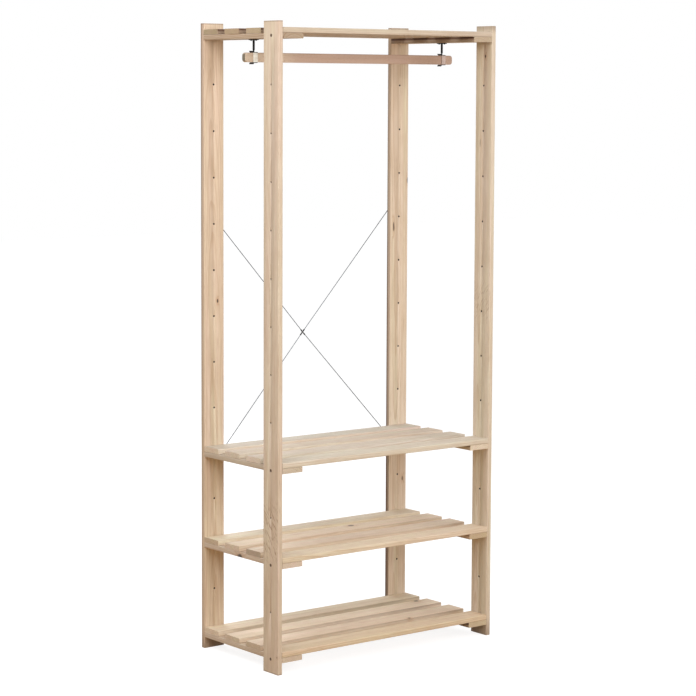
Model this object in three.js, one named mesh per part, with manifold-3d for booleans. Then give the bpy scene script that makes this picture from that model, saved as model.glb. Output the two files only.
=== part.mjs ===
// Open frame wardrobe: four drilled pine posts carry four slatted shelves, a flat wooden rod hangs
// under the top shelf on two clips, and two crossed wires brace the back.
// Millimetres. X is the width, Y runs from the front to the back, Z is up, and the origin is the
// middle of the bounding box at the floor.
import * as THREE from 'three';
import { mergeVertices } from 'three/addons/utils/BufferGeometryUtils.js';
import Module from 'manifold-3d';

const wasm = await Module();
wasm.setup();

// Board stock and the frame
const postHeight = 1700;
const boardWidth = 65;
const boardThickness = 14;
const edgeEase = 1.2;
const slatLength = 713;
const slatCount = 4;
const slatGap = 32;
const clearance = 0.3;

// Hole column of the posts
const holePitch = 125;
const leastHoleMargin = 30;
const middleShelfHole = 2;
const seatShelfHole = 4;

// Countersunk shelf screws
const screwLength = 40;
const screwShank = 4;
const screwHead = 8;
const screwSink = 0.3;
const screwTip = 3;
const recessDepth = 1.3;
const recessWidth = 0.9;
const recessSpan = 4;

// Hanging rod
const rodHeight = 25;
const rodThickness = 14;
const rodCorner = 8;
const rodDrop = 35;
const rodForward = 5;

// Hanger brackets and rod clips
const flangeWidth = 14;
const flangeLength = 36;
const flangeThickness = 2;
const stemDiameter = 6;
const neckDiameter = 4;
const neckLength = 5;
const peenHeight = 0.6;
const strapThickness = 1.5;
const strapWidth = 14;
const lipLength = 5;
const hangerScrewLength = 12;
const hangerScrewShank = 3;
const hangerScrewHead = 5.5;
const hangerScrewHeadHeight = 1.6;

// Brace of two crossed wires
const wireDiameter = 2;
const braceDropLeft = 36;
const braceDropRight = 39;
const braceRiseLeft = 648;
const braceRiseRight = 680;
const crossingLeft = 10;
const crossingRise = 310;
const braceScrewLength = 14;
const braceScrewShank = 4;
const braceScrewHead = 8;
const braceScrewHeadHeight = 2.5;
const eyeTurn = THREE.MathUtils.degToRad(300);
const braceClipLength = 17;
const braceClipWall = 1;

// Fineness of round shapes
const holeSides = 12;
const wireSides = 8;
const cornerSteps = 5;
const eyeSteps = 16;
const overrun = 5;

// Worked out from the values above
const shelfDepth = slatCount * boardWidth + (slatCount - 1) * slatGap;
const frameWidth = slatLength + 2 * (boardThickness + clearance);
const wireSeat = clearance + wireDiameter / 2;
const wireLift = wireDiameter + clearance;
const sleeveRadius = wireDiameter / 2 + clearance + braceClipWall;
const braceHeadReach = wireDiameter + 2 * clearance + braceScrewHeadHeight;
const rearReach = Math.max(braceHeadReach, wireSeat + wireLift + sleeveRadius);
const frontY = -(shelfDepth + clearance + boardThickness + rearReach) / 2;
const shelfMiddleY = frontY + shelfDepth / 2;
const frontPostX = frameWidth / 2 - boardThickness / 2;
const frontPostY = frontY + boardWidth / 2;
const rearPostX = slatLength / 2 - boardWidth / 2;
const rearPostY = frontY + shelfDepth + clearance + boardThickness / 2;
const rearFaceY = rearPostY + boardThickness / 2;

const lastHole = Math.floor((postHeight - 2 * leastHoleMargin) / holePitch);
const firstHoleHeight = (postHeight - lastHole * holePitch) / 2;
const holeHeight = (hole) => firstHoleHeight + hole * holePitch;
const holeDiameter = screwShank + 2 * clearance;

const shelves = [
  { name: 'bottom_shelf', hole: 0 },
  { name: 'middle_shelf', hole: middleShelfHole },
  { name: 'seat_shelf', hole: seatShelfHole },
  { name: 'top_shelf', hole: lastHole },
];
const sides = [
  { name: 'left', sign: -1 },
  { name: 'right', sign: 1 },
];

const pine = new THREE.MeshStandardMaterial({ color: 0xdcc0a0, roughness: 0.65, metalness: 0 });
const rodWood = new THREE.MeshStandardMaterial({ color: 0xcba487, roughness: 0.55, metalness: 0 });
const screwSteel = new THREE.MeshStandardMaterial({ color: 0x6b6258, roughness: 0.4, metalness: 1 });
const blackSteel = new THREE.MeshStandardMaterial({ color: 0x17171a, roughness: 0.45, metalness: 0.3 });
const brightSteel = new THREE.MeshStandardMaterial({ color: 0xd8d8da, roughness: 0.18, metalness: 1 });
const wireSteel = new THREE.MeshStandardMaterial({ color: 0x8f9195, roughness: 0.35, metalness: 1 });

const wardrobe = new THREE.Group();

function addMesh(parent, name, geometry, material, x, y, z) {
  const mesh = new THREE.Mesh(geometry, material);
  mesh.name = name;
  mesh.position.set(x, y, z);
  parent.add(mesh);
  return mesh;
}

// Solids for cutting and joining

function toSolid(geometry) {
  const bare = geometry.clone();
  bare.deleteAttribute('normal');
  bare.deleteAttribute('uv');
  const merged = mergeVertices(bare);
  const vertProperties = new Float32Array(merged.attributes.position.array);
  const triVerts = new Uint32Array(merged.index.array);
  return new wasm.Manifold(new wasm.Mesh({ numProp: 3, vertProperties, triVerts }));
}

function toGeometry(solid) {
  const mesh = solid.getMesh();
  const geometry = new THREE.BufferGeometry();
  geometry.setAttribute('position', new THREE.BufferAttribute(new Float32Array(mesh.vertProperties), 3));
  geometry.setIndex(new THREE.BufferAttribute(new Uint32Array(mesh.triVerts), 1));
  geometry.computeVertexNormals();
  return geometry;
}

// A body turned about its own +Z axis, from [radius, height] pairs that start and end on the axis
function turned(profile) {
  const points = profile.map(([radius, height]) => new THREE.Vector2(radius, height));
  return new THREE.LatheGeometry(points, holeSides).rotateX(Math.PI / 2);
}

function rod(diameter, from, to) {
  const radius = diameter / 2;
  return turned([[0, from], [radius, from], [radius, to], [0, to]]);
}

// Turns a body that points along +Z so that it points along the given direction
function pointed(geometry, direction) {
  const turn = new THREE.Quaternion().setFromUnitVectors(new THREE.Vector3(0, 0, 1), direction);
  return geometry.applyQuaternion(turn);
}

const toLeft = new THREE.Vector3(-1, 0, 0);
const toRight = new THREE.Vector3(1, 0, 0);
const toBack = new THREE.Vector3(0, 1, 0);
const toFloor = new THREE.Vector3(0, 0, -1);

// Planed boards: an eased rectangle, drawn out along +Z and centred on its length

function boardProfile(width, thickness) {
  const x = width / 2;
  const y = thickness / 2;
  const shape = new THREE.Shape();
  shape.moveTo(x, y - edgeEase);
  shape.lineTo(x - edgeEase, y);
  shape.lineTo(-x + edgeEase, y);
  shape.lineTo(-x, y - edgeEase);
  shape.lineTo(-x, -y + edgeEase);
  shape.lineTo(-x + edgeEase, -y);
  shape.lineTo(x - edgeEase, -y);
  shape.lineTo(x, -y + edgeEase);
  return shape;
}

function board(length) {
  const profile = boardProfile(boardWidth, boardThickness);
  const geometry = new THREE.ExtrudeGeometry(profile, { depth: length, bevelEnabled: false });
  return geometry.translate(0, 0, -length / 2);
}

// Posts: board stock with a column of holes through it, countersunk on the outer face where a
// shelf screw sits. The post stands on its local origin and its outer face looks along +Y.

function countersink() {
  const top = screwHead / 2 + clearance;
  const bottom = holeDiameter / 2;
  const depth = top - bottom + screwSink;
  return turned([[0, -depth], [bottom, -depth], [top, -screwSink], [top, overrun], [0, overrun]]);
}

function post(pilots) {
  let solid = toSolid(board(postHeight).translate(0, 0, postHeight / 2));
  for (let hole = 0; hole <= lastHole; hole += 1) {
    const reach = boardThickness / 2 + overrun;
    const drill = pointed(rod(holeDiameter, -reach, reach), toBack);
    solid = solid.subtract(toSolid(drill.translate(0, 0, holeHeight(hole))));
  }
  for (const shelf of shelves) {
    const cutter = pointed(countersink(), toBack);
    cutter.translate(0, boardThickness / 2, holeHeight(shelf.hole));
    solid = solid.subtract(toSolid(cutter));
  }
  for (const height of pilots) {
    const depth = braceScrewLength - wireDiameter - clearance;
    const drill = pointed(rod(braceScrewShank + 2 * clearance, -depth, overrun), toBack);
    solid = solid.subtract(toSolid(drill.translate(0, boardThickness / 2, height)));
  }
  return toGeometry(solid);
}

const seatHeight = holeHeight(seatShelfHole);
const anchors = {
  lowerLeft: new THREE.Vector3(-rearPostX, rearFaceY, seatHeight - braceDropLeft),
  lowerRight: new THREE.Vector3(rearPostX, rearFaceY, seatHeight - braceDropRight),
  upperLeft: new THREE.Vector3(-rearPostX, rearFaceY, seatHeight + braceRiseLeft),
  upperRight: new THREE.Vector3(rearPostX, rearFaceY, seatHeight + braceRiseRight),
};
const crossing = new THREE.Vector3(-crossingLeft, rearFaceY, seatHeight + crossingRise);

for (const side of sides) {
  const front = addMesh(wardrobe, `front_post_${side.name}`, post([]), pine, side.sign * frontPostX, frontPostY, 0);
  front.rotation.z = -side.sign * Math.PI / 2;
  const ends = Object.values(anchors).filter((anchor) => anchor.x * side.sign > 0);
  const pilots = ends.map((anchor) => anchor.z);
  addMesh(wardrobe, `rear_post_${side.name}`, post(pilots), pine, side.sign * rearPostX, rearPostY, 0);
}

// Shelves: four slats on two battens, each a group whose origin is the shelf's middle at the
// height of its screws

const pilotDiameter = screwShank + 2 * clearance;
const pilotDepth = screwLength + screwSink - boardThickness;
const rodY = -rodForward;
const hangerScrewSpan = flangeLength - flangeWidth;

function batten(sideSign, carriesHanger) {
  let solid = toSolid(board(shelfDepth).rotateX(Math.PI / 2));
  const outward = sideSign > 0 ? toRight : toLeft;
  const sideDrill = pointed(rod(pilotDiameter, -pilotDepth, overrun), outward);
  sideDrill.translate(sideSign * boardWidth / 2, frontPostY - shelfMiddleY, 0);
  solid = solid.subtract(toSolid(sideDrill));
  const endDrill = pointed(rod(pilotDiameter, -pilotDepth, overrun), toBack);
  solid = solid.subtract(toSolid(endDrill.translate(0, shelfDepth / 2, 0)));
  if (carriesHanger) {
    const depth = hangerScrewLength - flangeThickness;
    for (const end of [-1, 1]) {
      const drill = pointed(rod(hangerScrewShank + 2 * clearance, -depth, overrun), toFloor);
      drill.translate(0, rodY + end * hangerScrewSpan / 2, -boardThickness / 2);
      solid = solid.subtract(toSolid(drill));
    }
  }
  return toGeometry(solid);
}

for (const shelf of shelves) {
  const group = new THREE.Group();
  group.position.set(0, shelfMiddleY, holeHeight(shelf.hole));
  wardrobe.add(group);
  const slatHeight = boardThickness + clearance;
  for (let slat = 0; slat < slatCount; slat += 1) {
    const geometry = board(slatLength).rotateZ(Math.PI / 2).rotateY(Math.PI / 2);
    const y = -shelfDepth / 2 + boardWidth / 2 + slat * (boardWidth + slatGap);
    addMesh(group, `${shelf.name}_slat_${slat + 1}`, geometry, pine, 0, y, slatHeight);
  }
  for (const side of sides) {
    const geometry = batten(side.sign, shelf.hole === lastHole);
    addMesh(group, `${shelf.name}_batten_${side.name}`, geometry, pine, side.sign * rearPostX, 0, 0);
  }
}

// Screws: the local origin is at the top of the head, and the tip points along -Z

function crossRecess() {
  const slot = new THREE.BoxGeometry(recessSpan, recessWidth, 2 * recessDepth);
  return toSolid(slot).add(toSolid(slot.clone().rotateZ(Math.PI / 2)));
}

function countersunkScrew() {
  const head = screwHead / 2;
  const shank = screwShank / 2;
  const points = [[0, -screwLength], [shank, screwTip - screwLength], [shank, shank - head], [head, 0], [0, 0]];
  return toGeometry(toSolid(turned(points)).subtract(crossRecess()));
}

function roundHeadScrew(length, shankDiameter, headDiameter, headHeight) {
  const head = headDiameter / 2;
  const shank = shankDiameter / 2;
  const tip = -headHeight - length;
  return turned([
    [0, tip], [shank, tip + shankDiameter], [shank, -headHeight], [head, -headHeight],
    [head, -headHeight / 2], [head * Math.SQRT1_2, 0], [0, 0],
  ]);
}

for (const shelf of shelves) {
  const height = holeHeight(shelf.hole);
  for (const side of sides) {
    const outward = side.sign > 0 ? toRight : toLeft;
    const faceX = side.sign * (frameWidth / 2 - screwSink);
    const frontScrew = pointed(countersunkScrew(), outward);
    addMesh(wardrobe, `${shelf.name}_screw_front_${side.name}`, frontScrew, screwSteel, faceX, frontPostY, height);
    const rearScrew = pointed(countersunkScrew(), toBack);
    const rearX = side.sign * rearPostX;
    addMesh(wardrobe, `${shelf.name}_screw_rear_${side.name}`, rearScrew, screwSteel, rearX, rearFaceY - screwSink, height);
  }
}

// Hanging rod: a flat bar on edge, its ends rounded in the upright plane

function roundedRectangle(width, height, radius) {
  const x = width / 2;
  const y = height / 2;
  const shape = new THREE.Shape();
  shape.moveTo(x, -y + radius);
  shape.lineTo(x, y - radius);
  shape.absarc(x - radius, y - radius, radius, 0, Math.PI / 2);
  shape.lineTo(-x + radius, y);
  shape.absarc(-x + radius, y - radius, radius, Math.PI / 2, Math.PI);
  shape.lineTo(-x, -y + radius);
  shape.absarc(-x + radius, -y + radius, radius, Math.PI, 1.5 * Math.PI);
  shape.lineTo(x - radius, -y);
  shape.absarc(x - radius, -y + radius, radius, 1.5 * Math.PI, 2 * Math.PI);
  return shape;
}

const battenUnderside = holeHeight(lastHole) - boardThickness / 2;
const rodMiddle = battenUnderside - rodDrop - rodHeight / 2;
const rodOptions = { depth: rodThickness, bevelEnabled: false, curveSegments: cornerSteps };
const rodCornerRadius = Math.min(rodCorner, rodHeight / 2 - clearance);
const rodGeometry = new THREE.ExtrudeGeometry(roundedRectangle(slatLength, rodHeight, rodCornerRadius), rodOptions);
rodGeometry.translate(0, 0, -rodThickness / 2).rotateX(Math.PI / 2);
addMesh(wardrobe, 'hanging_rod', rodGeometry, rodWood, 0, shelfMiddleY + rodY, rodMiddle);

// Hangers: a flange with a stem, peened over in a strap clip that goes round the rod and is open
// at the back. The group's origin is the rod's middle under the batten.

const legUnderside = rodHeight / 2 + clearance;
const legTop = legUnderside + strapThickness;
const flangeTop = rodHeight / 2 + rodDrop - clearance;
const flangeUnderside = flangeTop - flangeThickness;

function hangerBracket() {
  const stem = stemDiameter / 2;
  const neck = neckDiameter / 2;
  const shoulder = legTop + neckLength;
  const peen = neck + peenHeight;
  const body = turned([
    [0, legUnderside], [peen, legUnderside], [neck, legUnderside + peenHeight], [neck, shoulder],
    [stem, shoulder], [stem, flangeTop - flangeThickness / 2], [0, flangeTop - flangeThickness / 2],
  ]);
  const outline = roundedRectangle(flangeWidth, flangeLength, flangeWidth / 2);
  const plate = new THREE.ExtrudeGeometry(outline, { depth: flangeThickness, bevelEnabled: false, curveSegments: cornerSteps });
  let solid = toSolid(body).add(toSolid(plate.translate(0, 0, flangeUnderside)));
  for (const end of [-1, 1]) {
    const drill = rod(hangerScrewShank + 2 * clearance, flangeUnderside - overrun, flangeTop + overrun);
    solid = solid.subtract(toSolid(drill.translate(0, end * hangerScrewSpan / 2, 0)));
  }
  return toGeometry(solid);
}

// Outline of a bent strip: the points of its middle line, moved out to both faces with mitred bends
function bentStrip(points, thickness) {
  const faces = [1, -1].map((face) => points.map((point, i) => {
    const before = points[Math.max(i - 1, 0)];
    const after = points[Math.min(i + 1, points.length - 1)];
    const into = i > 0 ? point.clone().sub(before).normalize() : after.clone().sub(point).normalize();
    const outOf = i < points.length - 1 ? after.clone().sub(point).normalize() : into;
    const normal = new THREE.Vector2(-into.y - outOf.y, into.x + outOf.x).normalize();
    const mitre = normal.x * -into.y + normal.y * into.x;
    return point.clone().addScaledVector(normal, face * thickness / 2 / mitre);
  }));
  return new THREE.Shape([...faces[0], ...faces[1].reverse()]);
}

function rodClip() {
  const web = rodThickness / 2 + clearance + strapThickness / 2;
  const leg = legUnderside + strapThickness / 2;
  const back = rodThickness / 2 + clearance;
  const flare = lipLength * Math.SQRT1_2;
  const line = [[back + flare, leg + flare], [back, leg], [-web, leg], [-web, -leg], [back, -leg], [back + flare, -leg - flare]];
  const outline = bentStrip(line.map(([y, z]) => new THREE.Vector2(y, z)), strapThickness);
  const strap = new THREE.ExtrudeGeometry(outline, { depth: strapWidth, bevelEnabled: false });
  strap.translate(0, 0, -strapWidth / 2).rotateX(Math.PI / 2).rotateZ(Math.PI / 2);
  const hole = neckDiameter / 2 + clearance;
  const flared = hole + peenHeight;
  const drill = turned([
    [0, legUnderside - strapThickness], [flared, legUnderside - strapThickness], [flared, legUnderside],
    [hole, legUnderside + peenHeight], [hole, legTop + strapThickness], [0, legTop + strapThickness],
  ]);
  return toGeometry(toSolid(strap).subtract(toSolid(drill)));
}

for (const side of sides) {
  const hanger = new THREE.Group();
  hanger.position.set(side.sign * rearPostX, shelfMiddleY + rodY, rodMiddle);
  wardrobe.add(hanger);
  addMesh(hanger, `hanger_bracket_${side.name}`, hangerBracket(), blackSteel, 0, 0, 0);
  addMesh(hanger, `rod_clip_${side.name}`, rodClip(), brightSteel, 0, 0, 0);
  for (const end of [{ name: 'front', sign: -1 }, { name: 'rear', sign: 1 }]) {
    const screw = roundHeadScrew(hangerScrewLength - clearance, hangerScrewShank, hangerScrewHead, hangerScrewHeadHeight);
    const y = end.sign * hangerScrewSpan / 2;
    const z = flangeUnderside - clearance - hangerScrewHeadHeight;
    addMesh(hanger, `hanger_screw_${side.name}_${end.name}`, pointed(screw, toFloor), blackSteel, 0, y, z);
  }
}

// Brace: each wire leaves an eye round its lower screw, runs to the crossing and on to the eye
// round its upper screw. The rising wire passes over the falling one, and a clip pulls them together.

// A path that the sweep steps along point by point, however far apart the points lie
class PointPath extends THREE.Curve {
  constructor(points) {
    super();
    this.points = points;
  }

  getPoint(t, target = new THREE.Vector3()) {
    const place = t * (this.points.length - 1);
    const start = Math.min(Math.floor(place), this.points.length - 2);
    return target.lerpVectors(this.points[start], this.points[start + 1], place - start);
  }

  getPointAt(u, target) {
    return this.getPoint(u, target);
  }

  getTangentAt(u, target = new THREE.Vector3()) {
    const last = this.points.length - 1;
    const at = Math.round(u * last);
    target.set(0, 0, 0);
    if (at > 0) target.add(this.points[at].clone().sub(this.points[at - 1]).normalize());
    if (at < last) target.add(this.points[at + 1].clone().sub(this.points[at]).normalize());
    return target.normalize();
  }
}

const eyeRadius = braceScrewShank / 2 + clearance + wireDiameter / 2;

// Points of an open eye round an anchor, from its free end to where the wire leaves for the crossing
function eyePoints(anchor, turnSign) {
  const heading = Math.atan2(crossing.z - anchor.z, crossing.x - anchor.x);
  const leave = heading - turnSign * Math.acos(eyeRadius / crossing.distanceTo(anchor));
  const points = [];
  for (let step = 0; step <= eyeSteps; step += 1) {
    const angle = leave - turnSign * eyeTurn * (1 - step / eyeSteps);
    const x = anchor.x + eyeRadius * Math.cos(angle);
    const z = anchor.z + eyeRadius * Math.sin(angle);
    points.push(new THREE.Vector3(x, anchor.y + wireSeat, z));
  }
  return points;
}

function braceWire(lower, upper, lift) {
  const middle = crossing.clone().setY(rearFaceY + wireSeat + lift);
  const path = new PointPath([...eyePoints(lower, 1), middle, ...eyePoints(upper, -1).reverse()]);
  const section = new THREE.Shape();
  for (let side = 0; side < wireSides; side += 1) {
    const angle = side * 2 * Math.PI / wireSides;
    const x = wireDiameter / 2 * Math.cos(angle);
    const y = wireDiameter / 2 * Math.sin(angle);
    if (side === 0) section.moveTo(x, y);
    else section.lineTo(x, y);
  }
  const steps = path.points.length - 1;
  return new THREE.ExtrudeGeometry(section, { steps, extrudePath: path });
}

addMesh(wardrobe, 'brace_wire_falling', braceWire(anchors.lowerRight, anchors.upperLeft, 0), wireSteel, 0, 0, 0);
addMesh(wardrobe, 'brace_wire_rising', braceWire(anchors.lowerLeft, anchors.upperRight, wireLift), wireSteel, 0, 0, 0);

// Direction of a wire in the clip: between those of its two halves
function wireDirection(lower, upper) {
  const fromLower = crossing.clone().sub(lower).normalize();
  const toUpper = upper.clone().sub(crossing).normalize();
  return fromLower.add(toUpper).normalize();
}

function braceClip() {
  const reach = braceClipLength / 2;
  const falling = wireDirection(anchors.lowerRight, anchors.upperLeft);
  const rising = wireDirection(anchors.lowerLeft, anchors.upperRight);
  let body = null;
  let bores = null;
  for (const [direction, lift] of [[falling, 0], [rising, wireLift]]) {
    const sleeve = pointed(rod(2 * sleeveRadius, -reach, reach), direction).translate(0, lift, 0);
    const bore = pointed(rod(wireDiameter + 2 * clearance, -reach - overrun, reach + overrun), direction);
    bore.translate(0, lift, 0);
    body = body ? body.add(toSolid(sleeve)) : toSolid(sleeve);
    bores = bores ? bores.add(toSolid(bore)) : toSolid(bore);
  }
  return toGeometry(body.subtract(bores));
}

addMesh(wardrobe, 'brace_clip', braceClip(), wireSteel, crossing.x, rearFaceY + wireSeat, crossing.z);

for (const [name, anchor] of Object.entries(anchors)) {
  const screw = roundHeadScrew(braceScrewLength, braceScrewShank, braceScrewHead, braceScrewHeadHeight);
  const label = name.replace(/[A-Z]/, (letter) => `_${letter.toLowerCase()}`);
  const y = rearFaceY + braceHeadReach;
  addMesh(wardrobe, `brace_screw_${label}`, pointed(screw, toBack), screwSteel, anchor.x, y, anchor.z);
}

export default wardrobe;
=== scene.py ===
import math
from collections import namedtuple

import bmesh
import bpy
import numpy as np
from mathutils import Euler, Matrix, Vector


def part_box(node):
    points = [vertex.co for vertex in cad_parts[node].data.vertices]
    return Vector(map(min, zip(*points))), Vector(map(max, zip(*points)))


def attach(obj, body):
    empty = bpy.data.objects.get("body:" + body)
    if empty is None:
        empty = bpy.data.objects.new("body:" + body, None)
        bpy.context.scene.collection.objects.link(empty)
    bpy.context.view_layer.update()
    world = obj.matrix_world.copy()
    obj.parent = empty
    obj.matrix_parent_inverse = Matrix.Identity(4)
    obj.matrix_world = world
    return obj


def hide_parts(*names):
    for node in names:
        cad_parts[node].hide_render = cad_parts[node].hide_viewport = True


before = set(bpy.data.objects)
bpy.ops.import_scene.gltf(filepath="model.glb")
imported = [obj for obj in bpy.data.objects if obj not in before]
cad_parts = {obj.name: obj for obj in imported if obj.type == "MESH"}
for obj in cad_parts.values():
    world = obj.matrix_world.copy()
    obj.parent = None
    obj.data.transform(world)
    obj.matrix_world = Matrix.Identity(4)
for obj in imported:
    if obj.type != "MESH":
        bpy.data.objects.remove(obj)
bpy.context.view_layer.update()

# Camera
# A long lens stands six metres off, a little lower than the top shelf, and looks slightly down at
# the front left corner. Its numbers come from the frame's own edges in the photograph.
photo_width = 696
focal_pixels = 2260.6
principal_right = 332.7
principal_down = 303.3
sensor_width = 36
camera_place = Vector((-3.8165, -4.8412, 1.5255))
camera_turn = 0.66156
camera_tilt = 0.09434
camera_roll = 0.00351


def linked(name, data):
    """A new object in the scene that shows the data."""
    made = bpy.data.objects.new(name, data)
    bpy.context.scene.collection.objects.link(made)
    return made


lens = bpy.data.cameras.new("photo_lens")
lens.sensor_width = sensor_width
lens.lens = focal_pixels / photo_width * sensor_width
lens.shift_x = (photo_width / 2 - principal_right) / photo_width
lens.shift_y = (principal_down - photo_width / 2) / photo_width
camera = linked("photo_camera", lens)
camera.rotation_euler = (Euler((math.pi / 2 - camera_tilt, 0, -camera_turn)).to_matrix()
                         @ Matrix.Rotation(camera_roll, 3, "Z")).to_euler()
camera.location = camera_place
bpy.context.scene.camera = camera


# Posts
# Four uprights of planed pine, sawn square at both ends, with a column of drilled holes. Their
# long edges are eased. The holes that take a shelf screw are countersunk on the outer face.

def forward(operation):
    """A Socket's method that adds the math node of that name."""
    return lambda self, *others: self._with(operation, self, *others)


def reflected(operation):
    """The same for a number that stands on the operator's left."""
    return lambda self, number: self._with(operation, number, self)


class Socket:
    """A value in a node tree. Arithmetic on it adds the matching math nodes."""

    def __init__(self, net, end):
        self.net = net
        self.end = end

    def _with(self, operation, *values):
        vector = any(isinstance(value, Socket) and value.end.type == "VECTOR" for value in values)
        if vector:
            values = [value if isinstance(value, (Socket, tuple)) else (value,) * 3 for value in values]
        kind = "ShaderNodeVectorMath" if vector else "ShaderNodeMath"
        return self.net.add(kind, {"operation": operation}, dict(enumerate(values)))

    __add__, __radd__ = forward("ADD"), reflected("ADD")
    __sub__, __rsub__ = forward("SUBTRACT"), reflected("SUBTRACT")
    __mul__, __truediv__, __pow__ = forward("MULTIPLY"), forward("DIVIDE"), forward("POWER")
    root, fraction, size = forward("SQRT"), forward("FRACT"), forward("ABSOLUTE")
    at_most, at_least = forward("MINIMUM"), forward("MAXIMUM")

    def __neg__(self):
        return self * -1.0

    def ramp(self, low, high):
        """0 below low, 1 above high, and a smooth rise between them."""
        values = {"Value": self, "From Min": low, "From Max": high}
        return self.net.add("ShaderNodeMapRange", {"interpolation_type": "SMOOTHSTEP"}, values)

    def length(self):
        return self.net.add("ShaderNodeVectorMath", {"operation": "LENGTH"}, {0: self}, out=1)

    def parts(self):
        split = self.net.node("ShaderNodeSeparateXYZ", values={0: self})
        return [Socket(self.net, end) for end in split.outputs]


class Net:
    """A node tree that is filled one node at a time."""

    def __init__(self, tree):
        self.tree = tree

    def feed(self, entry, value):
        """Links a Socket to a node's input, or sets a plain value there."""
        if isinstance(value, Socket):
            self.tree.links.new(value.end, entry)
        else:
            entry.default_value = value

    def node(self, kind, settings=None, values=None):
        made = self.tree.nodes.new(kind)
        for name, setting in (settings or {}).items():
            setattr(made, name, setting)
        for name, value in (values or {}).items():
            self.feed(made.inputs[name], value)
        return made

    def add(self, kind, settings=None, values=None, out=0):
        return Socket(self, self.node(kind, settings, values).outputs[out])

    def vector(self, x, y, z):
        return self.add("ShaderNodeCombineXYZ", values={0: x, 1: y, 2: z})

    def noise(self, place, scale=1.0, detail=2.0, roughness=0.5):
        values = {"Vector": place, "Scale": scale, "Detail": detail, "Roughness": roughness}
        return self.add("ShaderNodeTexNoise", values=values)

    def mix(self, share, first, second, blend="MIX"):
        values = {"Factor": share, 6: first, 7: second}
        return self.add("ShaderNodeMix", {"data_type": "RGBA", "blend_type": blend}, values, out=2)


class Grower(Net):
    """A Geometry Nodes tree with named inputs, and the plain mesh that it makes."""

    def __init__(self, name, inputs):
        super().__init__(bpy.data.node_groups.new(name, "GeometryNodeTree"))
        self.names = {}
        self.tree.interface.new_socket("Geometry", in_out="OUTPUT", socket_type="NodeSocketGeometry")
        for label, kind in {**inputs, "Material": "Material"}.items():
            socket = self.tree.interface.new_socket(label, in_out="INPUT", socket_type="NodeSocket" + kind)
            self.names[label] = socket.identifier
        self.start = self.tree.nodes.new("NodeGroupInput")

    def get(self, label):
        return Socket(self, self.start.outputs[label])

    def shape_of(self, label):
        """The mesh of the object that an input is given."""
        return self.add("GeometryNodeObjectInfo", values={"Object": self.get(label)}, out="Geometry")

    def boolean(self, operation, tools, values=None):
        """The tools as one solid, or what they leave of Mesh 1."""
        made = self.node("GeometryNodeMeshBoolean", {"operation": operation, "solver": "EXACT"}, values)
        for tool in tools:
            self.feed(made.inputs["Mesh 2"], tool)
        return Socket(self, made.outputs["Mesh"])

    def stored(self, mesh, name, value, kind="FLOAT", domain="POINT"):
        values = {"Geometry": mesh, "Name": name, "Value": value}
        return self.add("GeometryNodeStoreNamedAttribute", {"data_type": kind, "domain": domain}, values)

    def end_with(self, mesh):
        whole = self.add("GeometryNodeRealizeInstances", values={"Geometry": mesh})
        values = {"Geometry": whole, "Material": self.get("Material")}
        self.node("NodeGroupOutput", values={0: self.add("GeometryNodeSetMaterial", values=values)})

    def grow(self, name, values):
        seedling = linked(name + "_seedling", bpy.data.meshes.new(name))
        modifier = seedling.modifiers.new("grow", "NODES")
        modifier.node_group = self.tree
        for label, value in values.items():
            modifier[self.names[label]] = value
        graph = bpy.context.evaluated_depsgraph_get()
        mesh = bpy.data.meshes.new_from_object(seedling.evaluated_get(graph), depsgraph=graph)
        bpy.data.objects.remove(seedling)
        return linked(name, mesh)


def linear(red, green, blue):
    """A colour as seen in the photograph, 0 to 255 each, as a shader takes it."""
    steps = [value / 255 for value in (red, green, blue)]
    return tuple(s / 12.92 if s <= 0.04045 else ((s + 0.055) / 1.055) ** 2.4 for s in steps) + (1.0,)


class Finish(Net):
    """A material whose colour, roughness and bump are worked out in its nodes."""

    def __init__(self, name, metallic=0.0):
        self.material = bpy.data.materials.new(name)
        self.material.use_nodes = True
        super().__init__(self.material.node_tree)
        self.tree.nodes.clear()
        self.shader = self.node("ShaderNodeBsdfPrincipled", values={"Metallic": metallic})
        self.node("ShaderNodeOutputMaterial", values={"Surface": Socket(self, self.shader.outputs[0])})

    def place(self):
        return self.add("ShaderNodeTexCoord", out="Object")

    def attribute(self, name):
        return self.add("ShaderNodeAttribute", {"attribute_name": name}, out="Vector")

    def streaks(self, place, along_rate, across_rate, detail=2, roughness=0.5):
        """Noise on a place's three parts, which a lower rate draws out. Rates are per metre."""
        along, across, through = place
        drawn_out = self.vector(along * along_rate, across * across_rate, through * across_rate)
        return self.noise(drawn_out, detail=detail, roughness=roughness)

    def coats(self, colour, layers):
        """The colour under thin layers, each given as its share and its red, green and blue."""
        for share, over in layers:
            colour = self.mix(share, colour, linear(*over))
        return colour

    def surface(self, colour, roughness, height=None, distance=None, strength=None):
        self.feed(self.shader.inputs["Base Color"], colour)
        self.feed(self.shader.inputs["Roughness"], roughness)
        if height is not None:
            values = {"Height": height, "Distance": distance, "Strength": strength}
            self.feed(self.shader.inputs["Normal"], self.add("ShaderNodeBump", values=values))
        return self.material


post_low, post_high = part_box("front_post_left")
post_height = post_high.z - post_low.z
half_post = post_height / 2
board_thickness = post_high.x - post_low.x
board_width = post_high.y - post_low.y
half_thickness = board_thickness / 2
edge_ease = 0.0014
soft_edge = 0.001
knot_names = ("first_knot", "second_knot", "third_knot")


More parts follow.
